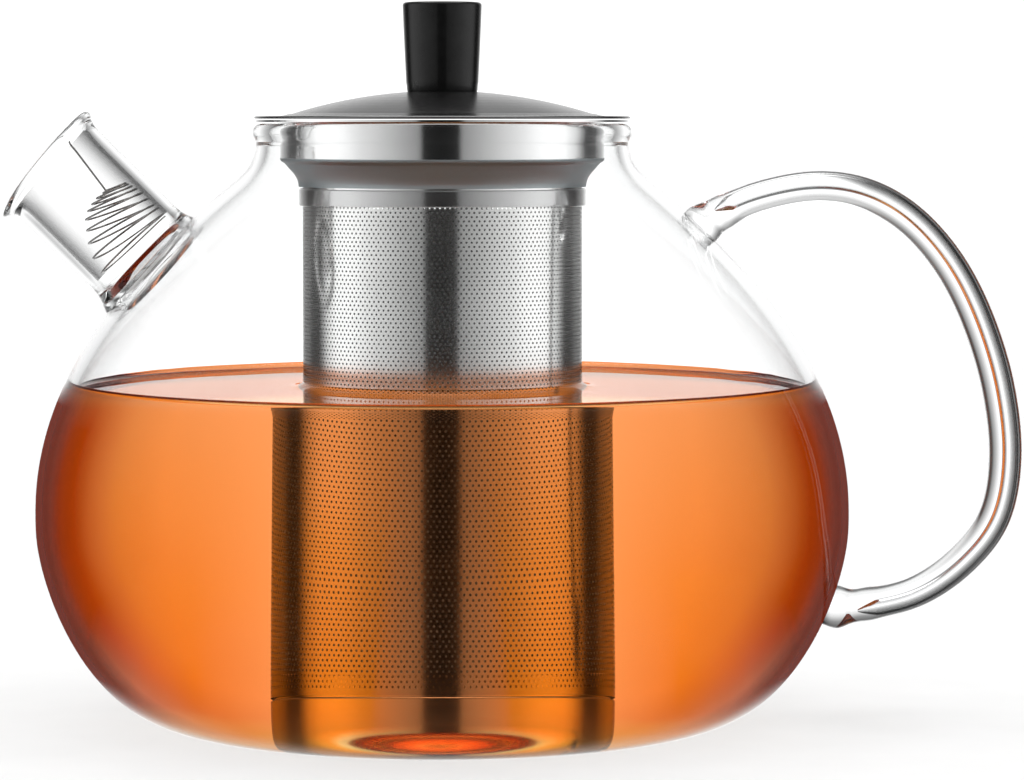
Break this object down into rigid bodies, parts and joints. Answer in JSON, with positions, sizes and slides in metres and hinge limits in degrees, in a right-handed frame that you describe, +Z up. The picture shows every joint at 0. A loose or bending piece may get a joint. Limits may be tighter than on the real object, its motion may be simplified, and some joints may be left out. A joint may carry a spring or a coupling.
{
  "type": "glass teapot",
  "caption": "Round glass teapot with a short straight spout, bent glass rod handle, lift-out perforated steel infuser, wire spout filter and steel lid with a black knob.",
  "frame": {"origin": "centre of the flat base, on the axis of the bowl", "axes": "+Z up along the bowl's axis, +X towards the handle, -X towards the spout, +Y away from the viewer who sees the spout on the left"},
  "size_m": [0.2088, 0.1666, 0.1475],
  "materials": {
    "pot_glass": "clear polished borosilicate",
    "handle_glass": "clear fire-polished rod",
    "filter_wire": "drawn stainless wire",
    "infuser_steel": "satin stainless sheet",
    "perforated_steel": "photo-etched perforated stainless sheet",
    "lid_steel": "polished stainless",
    "knob_black": "gloss black moulding",
    "insert_brass": "turned, threaded",
    "fixing_steel": "plain stainless"
  },
  "bodies": {
    "pot": {"bowl": "pot_glass", "spout": "pot_glass", "handle": "handle_glass"},
    "filter": {"spout_filter": "filter_wire"},
    "infuser": {"infuser_collar": "infuser_steel", "infuser_band": "infuser_steel", "infuser_tube": "perforated_steel", "infuser_base": "infuser_steel"},
    "lid": {"lid_dome": "lid_steel", "lid_skirt": "infuser_steel", "knob": "knob_black", "knob_insert": "insert_brass", "knob_screw": "fixing_steel", "knob_washer": "fixing_steel"}
  },
  "joints": [
    {"name": "infuser_lift", "type": "slide", "parent": "pot", "child": "infuser", "axis": [0, 0, 1], "range_m": [0, 0.16]},
    {"name": "lid_lift", "type": "slide", "parent": "infuser", "child": "lid", "axis": [0, 0, 1], "range_m": [0, 0.05]},
    {"name": "filter_pull", "type": "slide", "parent": "pot", "child": "filter", "axis": [-0.7071, 0, 0.7071], "range_m": [0, 0.045]}
  ]
}
